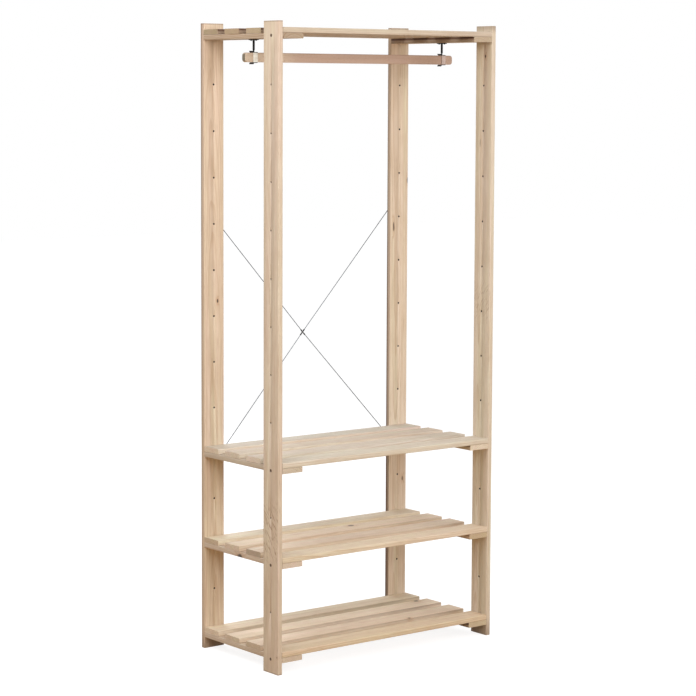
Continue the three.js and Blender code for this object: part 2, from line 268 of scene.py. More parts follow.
def planed_pine():
    look = Finish("planed_pine")
    log = look.attribute("log").parts()
    along, across, through = log
    warmth, figure, _ = look.attribute("wood").parts()
    # Painted shade on low edges and in holes, and how the edge shade fades along the board
    painted_edge_shade, bore, dark_fall = look.attribute("cut").parts()
    wild, wild_middle, wild_half = look.attribute("wild_grain").parts()
    darkened_foot, darkened_top, _ = look.attribute("soiled").parts()
    board_along, board_across, board_through = look.attribute("grain").parts()

    # Knots, as distances in knot radii. The rings are drawn out round each.
    core = halo = 0.0
    strengths = look.attribute("knot_strengths").parts()
    flutter = look.streaks(log, 90, 90) - 0.5
    for name, strength in zip(knot_names, strengths):
        reach = look.attribute(name).length() + flutter * 0.9
        core = (1 - reach.ramp(0.6, 1.25)) * strength + core
        halo = (1 - reach.ramp(0.8, 3.6)) * strength + halo

    # Annual rings round the log's own middle, which lies outside most boards
    sway = look.streaks(log, 1.9, 14) - 0.5
    ripple = look.streaks(log, 9, 40) - 0.5
    ring_reach = (across ** 2 + through ** 2).root() + sway * 0.016 + ripple * 0.0018 + halo * 0.0035
    pace = look.noise(look.vector(ring_reach * 90, 0.0, along * 0.2), detail=1)
    ring_width = 0.0034
    ring = (ring_reach / ring_width + pace * 3.5).fraction()
    late_wood = ring.ramp(0.50, 0.92) * (1 - ring.ramp(0.94, 1.0))

    # Long bands of pinker and yellower wood, clouds, fibres and short resin lines
    band = look.streaks(log, 1.6, 48, roughness=0.6)
    cloud = look.streaks(log, 9, 24, detail=4, roughness=0.6)
    fibre = look.streaks(log, 7, 360, detail=3, roughness=0.65)
    resin = look.streaks(log, 26, 420, detail=1).ramp(0.66, 0.80)

    # Wild grain: short slanting strokes where a branch stood close by
    stroke_along = board_along * 0.84 + board_across * 0.55
    stroke_over = board_along * 0.55 - board_across * 0.84
    strokes = look.noise(look.vector(stroke_along * 45, stroke_over * 260, 0.0), detail=1)
    reach = ((board_along - wild_middle) / wild_half).size()
    off_edges = 1 - board_across.size().ramp(board_width / 2 - 3 * soft_edge, board_width / 2 - soft_edge)
    flame = strokes.ramp(0.52, 0.66) * (1 - reach.ramp(0.45, 1.0)) * wild * off_edges

    pinkness = (band * 1.6 + warmth * 0.5 - 0.3).ramp(0.2, 0.9)
    early = look.mix(pinkness, linear(226, 209, 180), linear(229, 205, 183))
    late = look.mix(warmth * 0.5 + 0.5, linear(188, 158, 118), linear(192, 151, 120))
    colour = look.coats(look.mix(late_wood * figure, early, late), [
        (flame * 0.75, (150, 112, 78)),
        ((1 - cloud).ramp(0.35, 0.8) * 0.5, (203, 176, 148)),
        (fibre.ramp(0.42, 0.72) * 0.40, (190, 160, 128)),
        (resin * 0.35, (158, 122, 90)),
        (halo.at_most(1.0) * 0.45, (190, 148, 108)),
        (core.at_most(1.0) * 0.92, (52, 34, 24))])
    colour = look.mix(1.0, colour, look.attribute("tint"), blend="MULTIPLY")

    # Grime and painted shadow at a post's ends, then painted shade on low edges and in the holes
    foot_grime_and_shade = (-board_along).ramp(half_post - darkened_foot, half_post - soft_edge)
    top_grime = board_along.ramp(half_post - darkened_top, half_post - soft_edge)
    # The painted shade on a low edge darkens towards the board's upper face, as a shadow line at that arris
    rise = board_through.ramp(-soft_edge, half_thickness - soft_edge)
    shade = painted_edge_shade * (1 - board_along * dark_fall) * (rise * 1.2 + 0.6)
    colour = look.coats(colour, [(foot_grime_and_shade.at_least(top_grime) * 0.5, (112, 84, 62)),
                                 (shade.at_most(1.0), (94, 63, 42)), (bore, (24, 14, 9))])

    rough = 0.60 + fibre * 0.14 - late_wood * 0.06
    height = fibre * 0.6 + late_wood * 0.2 - core * 0.3 - resin * 0.3
    return look.surface(colour, rough, height, distance=0.0004, strength=0.45)


def numbers(data, field, width=1, kind=np.float32):
    """One field of a mesh's points, corners or faces, as an array."""
    values = np.zeros(len(data) * width, kind)
    data.foreach_get(field, values)
    return values.reshape(-1, width) if width > 1 else values


def write_vectors(mesh, name, values, domain="POINT"):
    layer = mesh.attributes.new(name, "FLOAT_VECTOR", domain)
    layer.data.foreach_set("vector", np.ascontiguousarray(values, np.float32).ravel())


def shade_smooth(mesh, sharp_angle, smooth=True):
    """Shades all faces smooth, or those that are marked, with sharp edges past an angle."""
    mesh.polygons.foreach_set("use_smooth", np.full(len(mesh.polygons), smooth))
    mesh.set_sharp_from_angle(angle=sharp_angle)


def from_log(board_seed):
    """Where a board lay in its log: shifted along, off the middle, rolled and slightly tilted."""
    chance = np.random.default_rng(board_seed)
    shift = Vector((chance.uniform(0, 50), chance.uniform(-0.02, 0.02), chance.uniform(0.014, 0.055)))
    roll, lean = 0.5, 0.014
    tilt = Euler((chance.uniform(-roll, roll), chance.uniform(-lean, lean), chance.uniform(-lean, lean)))
    return Matrix.Translation(shift) @ tilt.to_matrix().to_4x4()


pine = planed_pine()

# A board's own wood, and the light and shade painted on it. Tint is set against the common pine, and
# the rest have usual values: warmth goes from yellow to pink, figure is how strongly the rings show,
# end is the end grain's own tint, low_rim scales the low edge's colour as painted light and
# shade, low_dark is how much painted shade darkens the low edge, and dark_fall is how that fades
# along the board. Each knot is (along, across, radius, strength, times longer than wide), and on an
# edge also its place and reach through the board. Wild is (strength, middle along the board, half
# length) of a stretch of wild grain, soiled is how far a post darkens from its foot and from
# its top, as grime at the cut ends and at some feet as painted shadow under the bottom shelf, and
# bore is how dark its holes are, as painted shade.
usual_wood = {"warmth": 0.1, "figure": 0.5, "end": (0.80, 0.79, 0.78), "low_rim": 1.0, "low_dark": 0.0,
              "dark_fall": 0.3, "knots": (), "wild": (0.0, 0.0, 1.0), "soiled": (0.0045, 0.0045),
              "bore": 1.0}
Board = namedtuple("Board", ["seed", "tint", *usual_wood], defaults=usual_wood.values())
no_knot = 99.0
knot_depth = 12
end_facing = 0.9
low_facing = 0.6
square_facing = 0.999
skin = 0.0001
board_crisp = math.radians(50)


def dress_points(mesh, boards, number, grain):
    """Each point's place in its log, and its board's warmth, figure, knots, wild grain, and how far grime and
    painted shadow reach from its ends.
    """
    names = ("log", "wood", "wild_grain", "soiled", "knot_strengths")
    layers = {name: np.zeros_like(grain) for name in names}
    layers.update({name: np.full_like(grain, no_knot) for name in knot_names})
    for index, board in enumerate(boards):
        own = number == index
        matrix = np.array(from_log(board.seed))
        layers["log"][own] = grain[own] @ matrix[:3, :3].T + matrix[:3, 3]
        layers["wood"][own, :2] = (board.warmth, board.figure)
        layers["wild_grain"][own] = board.wild
        layers["soiled"][own, :2] = board.soiled
        for i, (along, across, radius, strength, longer, *edge) in enumerate(board.knots):
            through, reach = edge or (0.0, radius * knot_depth)
            away = (grain[own] - (along, across, through)) / (radius * longer, radius, reach)
            layers[knot_names[i]][own] = away
            layers["knot_strengths"][own, i] = strength
    for name, values in layers.items():
        write_vectors(mesh, name, values)


def dress_faces(mesh, boards, number, grain):
    """Each face's tint with painted light and shade on low edges, and how dark a low edge or a hole is as
    painted shade.
    """
    normals = numbers(mesh.polygons, "normal", 3)
    first_corner = numbers(mesh.polygons, "loop_start", kind=np.int32)
    corner_points = numbers(mesh.loops, "vertex_index", kind=np.int32)
    face_board = number[corner_points[first_corner]]
    tint, end, rim, dark, fall, bore = [
        np.array([np.ones(3) * getattr(board, name) for board in boards])[face_board]
        for name in ("tint", "end", "low_rim", "low_dark", "dark_fall", "bore")]
    on_end = np.abs(normals[:, 0]) > end_facing
    on_low = normals[:, 1] < -low_facing
    tint[on_end] *= end[on_end]
    # Low edges get their tint scaled as painted light and shade
    tint[on_low] *= rim[on_low]
    write_vectors(mesh, "tint", tint, domain="FACE")
    corner_sum = np.add.reduceat(grain[corner_points], first_corner)
    middles = corner_sum / np.diff([*first_corner, len(corner_points)])[:, None]
    depths = np.abs(grain).max(axis=0) - (skin, edge_ease + skin, skin)
    in_hole = (np.abs(middles) < depths).all(axis=1)
    # Painted shade: how dark each low edge is and how that fades along the board
    cut = np.zeros_like(normals)
    cut[on_low, 0] = dark[on_low, 0]
    cut[on_low, 2] = fall[on_low, 0]
    # Inside a hole, only how dark its painted shade is
    cut[in_hole] = 0.0
    cut[in_hole, 1] = bore[in_hole, 0]
    write_vectors(mesh, "cut", cut, domain="FACE")
    shade_smooth(mesh, board_crisp, np.abs(normals).max(axis=1) < square_facing)


def cut_from_logs(piece, boards, place):
    """Gives every board of a piece its own wood with painted light and shade, then moves the piece to its
    place.
    """
    mesh = piece.data
    grain = numbers(mesh.attributes["grain"].data, "vector", 3)
    number = numbers(mesh.attributes["board_number"].data, "value").round().astype(int)
    dress_points(mesh, boards, number, grain)
    dress_faces(mesh, boards, number, grain)
    mesh.transform(place)
    mesh.update()


board_sizes = dict.fromkeys(("Length", "Width", "Thickness", "Ease"), "Float")
ease_steps = 3


def blank(net):
    """A board along X: its eased section drawn out from end to end."""
    length, width, thickness, ease = [net.get(label) for label in board_sizes]
    half = net.vector(length * 0.5, 0.0, 0.0)
    line = net.add("GeometryNodeCurvePrimitiveLine", values={"Start": -half, "End": half})
    section = net.add("GeometryNodeCurvePrimitiveQuadrilateral", values={"Width": width, "Height": thickness})
    section = net.add("GeometryNodeFilletCurve", {"mode": "POLY"},
                      {"Curve": section, "Count": ease_steps, "Radius": ease})
    values = {"Curve": line, "Profile Curve": section, "Fill Caps": True}
    return net.add("GeometryNodeCurveToMesh", values=values)


def with_grain(net, mesh):
    """The mesh with each point's own place in the board, which stays when the board moves."""
    return net.stored(mesh, "grain", net.add("GeometryNodeInputPosition"), "FLOAT_VECTOR")


def post_tree(screw_holes):
    net = Grower("drilled_post", {**board_sizes, "First Hole": "Float", "Pitch": "Float", "Holes": "Int",
                                  "Drill": "Object", "Countersink": "Object"})
    first = net.vector(net.get("First Hole") - net.get("Length") * 0.5, 0.0, 0.0)
    pitch = net.vector(net.get("Pitch"), 0.0, 0.0)
    values = {"Count": net.get("Holes"), "Start Location": first, "Offset": pitch}
    column = net.add("GeometryNodeMeshLine", {"mode": "OFFSET"}, values)
    number = net.add("GeometryNodeInputIndex")
    chosen = 0.0
    for hole in screw_holes:
        values = {0: number, 1: float(hole), 2: 0.5}
        chosen = net.add("ShaderNodeMath", {"operation": "COMPARE"}, values) + chosen
    cutters = net.node("GeometryNodeJoinGeometry")
    for label, selection in (("Drill", 1 - chosen), ("Countersink", chosen)):
        values = {"Points": column, "Instance": net.shape_of(label), "Selection": selection}
        net.feed(cutters.inputs[0], net.add("GeometryNodeInstanceOnPoints", values=values))
    values = {"Geometry": Socket(net, cutters.outputs[0])}
    cutters = net.add("GeometryNodeRealizeInstances", values=values)
    drilled = net.boolean("DIFFERENCE", [cutters], {"Mesh 1": blank(net)})
    net.end_with(net.stored(with_grain(net, drilled), "board_number", 0.0))
    return net


def solid(name, shape):
    """The object that a finished bmesh becomes, with its faces pointing out."""
    bmesh.ops.recalc_face_normals(shape, faces=shape.faces)
    mesh = bpy.data.meshes.new(name)
    shape.to_mesh(mesh)
    shape.free()
    return linked(name, mesh)


def turned(name, profile, sides=32):
    """A solid of revolution about Z, from (radius, height) pairs that start and end on the axis."""
    shape = bmesh.new()
    turn = 2 * math.pi / sides
    rings = []
    for radius, height in profile:
        count = 1 if radius == 0 else sides
        rings.append([shape.verts.new((radius * math.cos(turn * i), radius * math.sin(turn * i), height))
                      for i in range(count)])
    for low, high in zip(rings, rings[1:]):
        for i in range(sides):
            here, after = i % len(low), (i + 1) % len(low)
            above, above_after = i % len(high), (i + 1) % len(high)
            face = list(dict.fromkeys((low[here], low[after], high[above_after], high[above])))
            if len(face) > 2:
                shape.faces.new(face)
    return solid(name, shape)


shelf_names = ["bottom_shelf", "middle_shelf", "seat_shelf", "top_shelf"]
screw_heights = []
for shelf in shelf_names:
    screw_low, screw_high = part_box(f"{shelf}_screw_front_left")
    screw_heights.append((screw_low.z + screw_high.z) / 2)
hole_pitch = 0.125
hole_radius = 0.0023
hole_count = round((screw_heights[-1] - screw_heights[0]) / hole_pitch) + 1
screw_holes = [round((height - screw_heights[0]) / hole_pitch) for height in screw_heights]
fit_gap = 0.0003
head_sink = 0.0003
head_radius = (screw_high.z - screw_low.z) / 2
head_seat = head_radius + fit_gap
broken_edge = 0.0004
overrun = 0.002

# The drill breaks the edge of the hole on both faces. The countersink opens it on the outer face.
past_face = half_thickness + overrun
mouth = hole_radius + broken_edge
drill_half = [(hole_radius, half_thickness - broken_edge), (mouth, half_thickness), (mouth, past_face)]
lower_half = [(radius, -height) for radius, height in reversed(drill_half)]
drill = turned("drill", [(0, -past_face), *lower_half, *drill_half, (0, past_face)])
cone_depth = half_thickness - (head_seat - hole_radius) - head_sink
cone_half = [(hole_radius, cone_depth), (head_seat, half_thickness - head_sink), (head_seat, past_face)]
countersink = turned("countersink", [(0, -past_face), *lower_half, *cone_half, (0, past_face)])

post_maker = post_tree(screw_holes)
# The longer darkened feet are painted shadow under the bottom shelf, the short ones grime at the cut end
post_looks = {
    "front_post_left": Board(
        11, (0.88, 0.90, 0.96), warmth=-0.1, figure=0.26, wild=(1.0, -0.475, 0.10), bore=0.5,
        knots=[(-0.803, -0.028, 0.002, 0.7, 1.3)]),
    "front_post_right": Board(
        12, (0.93, 1.01, 1.08), figure=0.42, wild=(0.5, 0.085, 0.07), soiled=(0.06, 0.024),
        knots=[(0.768, 0.006, 0.0032, 1.0, 1.4), (0.53, -0.012, 0.003, 0.35, 4.0)]),
    "rear_post_left": Board(
        13, (0.95, 0.96, 0.97), warmth=0.2, figure=0.42, low_dark=0.34, dark_fall=-0.5,
        soiled=(0.06, 0.0045), knots=[(0.103, 0.012, 0.0026, 1.0, 2.2)]),
    "rear_post_right": Board(
        14, (0.97, 1.03, 1.06), warmth=0.4, figure=0.46, low_dark=0.70, dark_fall=0.7, soiled=(0.03, 0.024),
        knots=[(0.285, -0.019, 0.0026, 0.95, 5.0), (-0.451, 0.019, 0.0028, 0.8, 2.5),
               (0.417, 0.031, 0.0026, 0.9, 3.5)]),
}
for node, wood in post_looks.items():
    low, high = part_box(node)
    middle = (low + high) / 2
    side = -1 if middle.x < 0 else 1
    outward = Vector((side, 0, 0)) if node.startswith("front") else Vector((0, 1, 0))
    upright = Vector((0, 0, 1))
    turn = Matrix((upright, outward.cross(upright), outward)).transposed().to_4x4()
    piece = post_maker.grow(node.replace("post", "upright"), {
        "Length": post_height, "Width": board_width, "Thickness": board_thickness, "Ease": edge_ease,
        "First Hole": screw_heights[0], "Pitch": hole_pitch, "Holes": hole_count,
        "Drill": drill, "Countersink": countersink, "Material": pine})
    cut_from_logs(piece, [wood], Matrix.Translation(middle) @ turn)
    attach(piece, "root")
    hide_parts(node)
for tool in (drill, countersink):
    bpy.data.objects.remove(tool)


# Shelves
# Each shelf is four pine slats that lie on two battens of the same stock, one under each end. The
# battens run from front to back, and the slats are nailed down on them with equal gaps.

def row_tree():
    net = Grower("row_of_boards", {**board_sizes, "Boards": "Int", "Step": "Float"})
    wood = with_grain(net, blank(net))
    step = net.vector(0.0, net.get("Step"), 0.0)
    start = step * ((net.get("Boards") - 1) * -0.5)
    values = {"Count": net.get("Boards"), "Start Location": start, "Offset": step}
    row = net.add("GeometryNodeMeshLine", {"mode": "OFFSET"}, values)
    boards = net.add("GeometryNodeInstanceOnPoints", values={"Points": row, "Instance": wood})
    net.end_with(net.stored(boards, "board_number", net.add("GeometryNodeInputIndex"), domain="INSTANCE"))
    return net


row_maker = row_tree()
slat_looks = {
    "bottom_shelf": [
        Board(21, (0.95, 0.95, 0.90)),
        Board(22, (1.06, 1.10, 1.14), figure=0.4, end=(0.79, 0.78, 0.76), low_rim=0.95, low_dark=0.17,
              dark_fall=-1.0, knots=[(0.159, -0.028, 0.0042, 0.9, 1.4, 0.007, 0.007)]),
        Board(23, (1.12, 1.19, 1.24), warmth=0.2, figure=0.4, end=(0.81, 0.81, 0.81), low_rim=0.93,
              low_dark=0.15, dark_fall=-2.5, knots=[(0.310, 0.024, 0.0065, 1.0, 1.2)]),
        Board(24, (1.06, 1.13, 1.16), warmth=0.0, figure=0.4, end=(0.96, 0.93, 0.96), low_rim=0.93,
              low_dark=0.12, dark_fall=-2.5)],
    "middle_shelf": [
        Board(25, (1.02, 1.06, 1.08), low_rim=0.95),
        Board(26, (0.99, 1.02, 1.08), figure=0.4, end=(0.63, 0.61, 0.59), low_dark=0.10, dark_fall=-2.5),
        Board(27, (1.05, 1.09, 1.14), warmth=0.0, end=(0.89, 0.89, 0.91), low_dark=0.13, dark_fall=-1.5,
              knots=[(0.064, 0.017, 0.0085, 0.85, 1.1)]),
        Board(28, (1.04, 1.14, 1.20), figure=0.4, end=(0.74, 0.66, 0.62), low_rim=1.04)],
    "seat_shelf": [
        Board(29, (0.92, 1.00, 1.12), warmth=-0.4, figure=0.4),
        Board(30, (0.86, 0.93, 1.02), figure=0.4, end=(1.20, 1.21, 1.26), low_rim=(1.11, 1.18, 1.26),
              low_dark=0.04, dark_fall=-1.5),
        Board(31, (0.84, 0.89, 0.94), warmth=0.3, figure=0.4, end=(1.10, 1.14, 1.18),
              low_rim=(1.22, 1.28, 1.37), low_dark=0.05, dark_fall=-1.5),
        Board(32, (0.81, 0.90, 1.00), figure=0.3, end=(1.18, 1.10, 1.05), low_rim=(1.34, 1.30, 1.33),
              low_dark=0.07, dark_fall=-2.5)],
    "top_shelf": [
        Board(33, (0.77, 0.80, 0.85), figure=0.4),
        Board(34, (0.88, 0.90, 0.90), warmth=0.2, end=(0.70, 0.68, 0.60), low_dark=0.72),
        Board(35, (0.84, 0.84, 0.85), figure=0.4, end=(0.70, 0.66, 0.57), low_dark=0.72),
        Board(36, (0.84, 0.85, 0.85), figure=0.4, end=(0.63, 0.61, 0.53), low_dark=0.72)],
}
batten_looks = {
    "bottom_shelf": [
        Board(41, (0.84, 0.86, 0.92), warmth=0.0, end=(1.02, 1.04, 1.02)),
        Board(42, (0.90, 0.88, 0.84), warmth=0.0, end=(0.87, 0.90, 0.87), low_dark=1.0)],
    "middle_shelf": [
        Board(43, (0.87, 0.89, 0.98), end=(1.03, 1.04, 1.04),
              knots=[(-0.0119, -0.0325, 0.008, 1.0, 1.4, -0.006, 0.0075)]),
        Board(44, (0.92, 0.91, 0.88), warmth=0.0, end=(0.80, 0.79, 0.72), low_dark=0.45)],
    "seat_shelf": [
        Board(45, (0.79, 0.83, 0.90), warmth=0.0, end=(0.98, 0.98, 0.96)),
        Board(46, (1.10, 1.16, 1.22), warmth=0.0, end=(0.91, 0.92, 0.95), low_dark=0.50)],
    "top_shelf": [
        Board(47, (0.64, 0.63, 0.60), warmth=0.2, figure=1.3, end=(0.84, 0.83, 0.82)),
        Board(48, (0.86, 0.88, 0.90), warmth=0.0, figure=0.7, end=(0.78, 0.76, 0.73), low_dark=0.80)],
}


def shelf_row(name, nodes, looks, along_y):
    boxes = [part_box(node) for node in nodes]
    middles = [(low + high) / 2 for low, high in boxes]
    span = boxes[0][1] - boxes[0][0]
    first, last = middles[0], middles[-1]
    step = (last - first).length / (len(nodes) - 1)
    length = span.y if along_y else span.x
    piece = row_maker.grow(name, {
        "Length": length, "Width": board_width, "Thickness": board_thickness, "Ease": edge_ease,
        "Boards": len(nodes), "Step": step, "Material": pine})
    turn = Matrix.Rotation(-math.pi / 2, 4, "Z") if along_y else Matrix.Identity(4)
    cut_from_logs(piece, looks, Matrix.Translation((first + last) / 2) @ turn)
    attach(piece, "root")
    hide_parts(*nodes)


for shelf in shelf_names:
    slats = [f"{shelf}_slat_{number + 1}" for number in range(len(slat_looks[shelf]))]
    shelf_row(f"{shelf}_slats", slats, slat_looks[shelf], along_y=False)
    battens = [f"{shelf}_batten_{side}" for side in ("left", "right")]
    shelf_row(f"{shelf}_battens", battens, batten_looks[shelf], along_y=True)


# Shelf screws
# Sixteen countersunk wood screws of browned steel with a cross recess. The front ones go in from
# the side and the rear ones from behind, each into a shelf batten, with the head just below the wood.

def browned_steel():
    look = Finish("browned_steel", metallic=0.9)
    mottle = look.noise(look.place(), scale=900, detail=3)
    colour = look.mix(mottle.ramp(0.3, 0.7), linear(118, 96, 78), linear(90, 72, 58))
    return look.surface(colour, 0.42 + mottle * 0.2, mottle, distance=0.00005, strength=0.3)


def prism(name, outlines):
    """A closed solid from outlines of equal point count, each (points, height), from low to high."""
    shape = bmesh.new()
    rings = [[shape.verts.new((x, y, height)) for x, y in points] for points, height in outlines]
    for low, high in zip(rings, rings[1:]):
        for i in range(len(low)):
            j = (i + 1) % len(low)
            shape.faces.new((low[i], low[j], high[j], high[i]))
    shape.faces.new(list(reversed(rings[0])))
    shape.faces.new(rings[-1])
    return solid(name, shape)


def cross(reach, half_width):
    arm = [(reach, -half_width), (reach, half_width), (half_width, half_width)]
    turns = [(1, 0), (0, 1), (-1, 0), (0, -1)]
    return [(c * x - s * y, s * x + c * y) for c, s in turns for x, y in arm]


def recess(mouth, floor, depth, rise):
    """The cutter of a cross recess, from the (reach, half width) of its mouth and of its floor."""
    return prism("recess", [(cross(*floor), -depth), (cross(*mouth), 0.0), (cross(*mouth), rise)])


crisp = math.radians(35)
weld_distance = 0.000002


def parts_tree():
    tools = ("Body", "Added", "Cut", "Places")
    net = Grower("parts_in_place", {**dict.fromkeys(tools, "Object"), "Spin": "Float", "Seed": "Int"})
    body, added, cut, places = [net.shape_of(label) for label in tools]
    whole = net.boolean("UNION", [body, added])
    carved = net.boolean("DIFFERENCE", [cut], {"Mesh 1": whole, "Self Intersection": True})
    values = {"Geometry": carved, "Distance": weld_distance}
    clean = net.add("GeometryNodeMergeByDistance", values=values)
    facing = net.add("GeometryNodeInputNamedAttribute", {"data_type": "FLOAT_VECTOR"}, {"Name": "facing"})
    upright = net.add("FunctionNodeAlignRotationToVector", {"axis": "Z"}, {"Vector": facing})
    values = {2: 0.0, 3: net.get("Spin"), "Seed": net.get("Seed")}
    angle = net.add("FunctionNodeRandomValue", {"data_type": "FLOAT"}, values, out=1)
    spin = net.add("FunctionNodeAxisAngleToRotation", values={"Axis": (0.0, 0.0, 1.0), "Angle": angle})
    values = {"Rotation": upright, "Rotate By": spin}
    turn = net.add("FunctionNodeRotateRotation", {"rotation_space": "LOCAL"}, values)
    values = {"Points": places, "Instance": clean, "Rotation": turn}
    net.end_with(net.add("GeometryNodeInstanceOnPoints", values=values))
    return net


def round_edges(piece, width, segments):
    bevel = piece.modifiers.new("rounded_edges", "BEVEL")
    bevel.width = width
    bevel.segments = segments
    bevel.limit_method = "ANGLE"
    bevel.angle_limit = crisp


parts_maker = parts_tree()


def put_parts(name, tools, places, nodes, material, spin=0.0, seed=1, round_over=0.0):
    """Carves one part from its tools, sets it at each (point, facing), and gives it to the frame."""
    spots = bpy.data.meshes.new(name + "_places")
    spots.from_pydata([point for point, _ in places], [], [])
    write_vectors(spots, "facing", [tuple(facing) for _, facing in places])
    spots = linked(name + "_places", spots)
    piece = parts_maker.grow(name, {**tools, "Places": spots, "Spin": spin, "Seed": seed,
                                    "Material": material})
    for tool in (*tools.values(), spots):
        bpy.data.objects.remove(tool)
    if round_over:
        round_edges(piece, round_over, segments=2)
    shade_smooth(piece.data, crisp)
    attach(piece, "root")
    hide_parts(*nodes)


left, right, back, down, up = (Vector(way) for way in
                               ((-1, 0, 0), (1, 0, 0), (0, 1, 0), (0, 0, -1), (0, 0, 1)))


def head_of(node, facing):
    """The middle of a screw's head, where its box ends on the side that it faces, and that way."""
    low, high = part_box(node)
    middle = (low + high) / 2
    return middle + facing * abs((high - low).dot(facing)) / 2, facing


screw_length = 0.040
shank_radius = 0.002
screw_tip = 0.003
lip_height = 0.0002
screw_profile = [(0, -screw_length), (shank_radius, screw_tip - screw_length),
                 (shank_radius, shank_radius - head_radius - lip_height),
                 (head_radius, -lip_height), (head_radius - lip_height, 0), (0, 0)]
recess_mouth = (0.0021, 0.00055)
recess_floor = (0.0010, 0.0004)
recess_depth = 0.0013
screw_ways = {"front_left": left, "front_right": right, "rear_left": back, "rear_right": back}
screws = {f"{shelf}_screw_{place}": way for shelf in shelf_names for place, way in screw_ways.items()}
put_parts("shelf_screws", {"Body": turned("screw", screw_profile),
                           "Cut": recess(recess_mouth, recess_floor, recess_depth, lip_height * 4)},
          [head_of(node, facing) for node, facing in screws.items()], screws, browned_steel(),
          spin=math.pi / 2, seed=3)


# Clothes rod
# One flat bar of steamed beech, on edge under the top shelf. It is sawn to the width between the
# posts, and its corners are rounded in the upright plane and its edges eased all round.

rod_low, rod_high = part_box("hanging_rod")
rod_middle = (rod_low + rod_high) / 2
rod_size = rod_high - rod_low
rod_corner = 0.008
rod_ease = 0.0012


def steamed_beech():
    look = Finish("steamed_beech")
    place = look.place().parts()
    along, _, through = place
    growth = look.streaks(place, 1.2, 60, detail=3)
    fibre = look.streaks(place, 14, 700)
    fleck = look.streaks(place, 160, 900, detail=0).ramp(0.62, 0.72)
    # The ends are darker, partly end grain and partly painted shade under the top shelf
    outward = look.add("ShaderNodeNewGeometry", out="Normal").parts()[0].size().ramp(0.6, 0.95)
    # A dark line along the top edge is painted shade under the shelf
    top_edge_shade = through.ramp(rod_high.z - 0.0025, rod_high.z - 0.0005)
    colour = look.coats(linear(192, 164, 146), [
        (growth.ramp(0.3, 0.7), (176, 148, 131)),
        ((1 - along.ramp(-0.26, -0.16)) * 0.75, (212, 195, 171)),
        (fibre.ramp(0.35, 0.8) * 0.35, (176, 145, 122)),
        (fleck * 0.35, (150, 112, 88)), (outward * 0.9, (98, 91, 74)), (top_edge_shade * 0.5, (120, 80, 66))])
    rough = 0.5 + fibre * 0.15 + outward * 0.1
    return look.surface(colour, rough, fibre - fleck * 0.4, distance=0.0003, strength=0.35)


def rounded_outline(width, height, radius, steps=10):
    points = []
    for quarter, (sx, sy) in enumerate(((1, 1), (-1, 1), (-1, -1), (1, -1))):
        for step in range(steps + 1):
            angle = (quarter + step / steps) * math.pi / 2
            points.append((sx * (width / 2 - radius) + radius * math.cos(angle),
                           sy * (height / 2 - radius) + radius * math.sin(angle)))
    return points


outline = rounded_outline(rod_size.x, rod_size.z, rod_corner)
bar = prism("clothes_rod", [(outline, -rod_size.y / 2), (outline, rod_size.y / 2)])
bar.data.materials.append(steamed_beech())
bar.data.transform(Matrix.Translation(rod_middle) @ Matrix.Rotation(math.pi / 2, 4, "X"))
round_edges(bar, rod_ease, segments=3)
shade_smooth(bar.data, crisp)
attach(bar, "root")
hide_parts("hanging_rod")


# Rod hangers
# Two pressed and turned steel hangers, powder-coated black: an oblong flange screwed up under the
# top battens, with a stem whose neck is peened over inside the rod clip.

def black_coat():
    look = Finish("black_coat")
    place = look.place()
    peel = look.noise(place, scale=1400, detail=2)
    cloud = look.noise(place, scale=120, detail=2)
    colour = look.mix(cloud, linear(8, 8, 8), linear(18, 17, 17))
    look.shader.inputs["Specular IOR Level"].default_value = 0.12
    return look.surface(colour, 0.45 + cloud * 0.14, peel, distance=0.00008, strength=0.35)


hanger_sides = ["left", "right"]
hanger_nodes = [f"hanger_bracket_{side}" for side in hanger_sides]
hanger_places = []
for node in hanger_nodes:
    low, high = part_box(node)
    hanger_places.append((Vector(((low.x + high.x) / 2, rod_middle.y, rod_middle.z)), up))
low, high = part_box(hanger_nodes[0])
flange_width = high.x - low.x
flange_length = high.y - low.y
flange_top = high.z - rod_middle.z
neck_foot = low.z - rod_middle.z
flange_thickness = 0.002
flange_foot = flange_top - flange_thickness
flange_edge = 0.0004
end_flat = 0.00001
stem_radius = 0.003
stem_fillet = 0.0008
stem_cover = 0.001
stem_top = flange_top - stem_cover
neck_radius = 0.002
neck_length = 0.005
peen_height = 0.0006
strap_thickness = 0.0015
shoulder = neck_foot + strap_thickness + neck_length

stem_profile = [
    (0, neck_foot), (neck_radius, neck_foot), (neck_radius + peen_height, neck_foot + peen_height / 2),
    (neck_radius, neck_foot + peen_height), (neck_radius, shoulder), (stem_radius - flange_edge, shoulder),
    (stem_radius, shoulder + flange_edge), (stem_radius, flange_foot - stem_fillet),
    (stem_radius + stem_fillet, flange_foot), (stem_radius + stem_fillet, stem_top), (0, stem_top)]
plate_outline = rounded_outline(flange_width, flange_length, flange_width / 2 - end_flat)
plate_inset = rounded_outline(flange_width - 2 * flange_edge, flange_length - 2 * flange_edge,
                              flange_width / 2 - (flange_edge + end_flat))
plate = prism("flange", [(plate_inset, flange_foot), (plate_outline, flange_foot + flange_edge),
                         (plate_outline, flange_top - flange_edge), (plate_inset, flange_top)])
flange_hole = 0.0018
hole_apart = flange_length - flange_width


def bore(radius, low, high, sides=32):
    """A plain round cutter about Z."""
    return turned("bore", [(0, low), (radius, low), (radius, high), (0, high)], sides)


def merged(tools):
    """One cutter with the meshes of all of them."""
    both = bmesh.new()
    for tool in tools:
        both.from_mesh(tool.data)
    both.to_mesh(tools[0].data)
    both.free()
    for tool in tools[1:]:
        bpy.data.objects.remove(tool)
    return tools[0]


